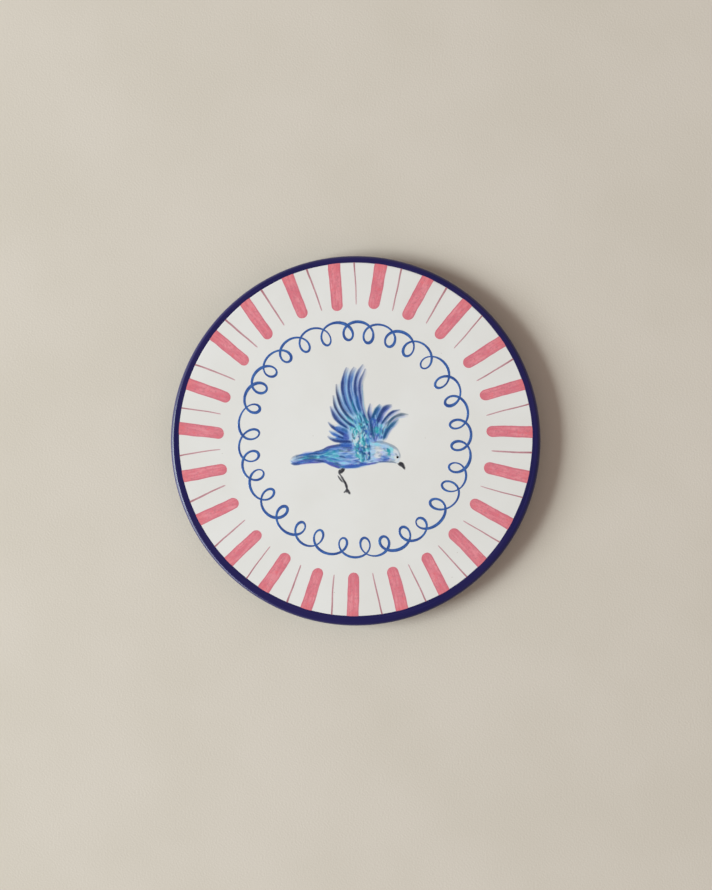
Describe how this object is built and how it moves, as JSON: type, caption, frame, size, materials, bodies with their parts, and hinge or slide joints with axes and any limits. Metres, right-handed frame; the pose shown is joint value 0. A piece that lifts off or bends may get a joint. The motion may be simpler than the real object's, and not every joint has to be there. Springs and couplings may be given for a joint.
{
  "type": "hand painted ceramic plate",
  "caption": "Flat round hand painted ceramic plate with a navy rim, pink brush strokes, a blue looped border and a bird in flight, on a pierced foot ring.",
  "frame": {"origin": "centre of the circle that the foot ring rests on", "axes": "+Z out of the painted face, +Y to the top of the painting, +X the way the bird looks"},
  "size_m": [0.21, 0.21, 0.0145],
  "materials": {
    "clay": "matt fired clay",
    "white_glaze": "satin gloss",
    "navy_glaze": "gloss",
    "pink_paint": "satin gloss",
    "rose_line_paint": "satin gloss",
    "blue_line_paint": "satin gloss",
    "feather_paint": "satin gloss",
    "black_paint": "satin gloss"
  },
  "bodies": {
    "root": {"clay_disc": "clay", "foot_ring": "clay", "face_glaze": "white_glaze", "back_glaze": "white_glaze", "well_glaze": "white_glaze", "rim_band": "navy_glaze", "ray_strokes": "pink_paint", "ray_lines": "rose_line_paint", "loop_border": "blue_line_paint", "bird_near_wing": "feather_paint", "bird_far_wing": "feather_paint", "bird_body": "feather_paint", "bird_tail": "feather_paint", "bird_head": "feather_paint", "bird_beak": "black_paint", "bird_eye": "black_paint", "bird_leg": "black_paint"}
  },
  "joints": []
}
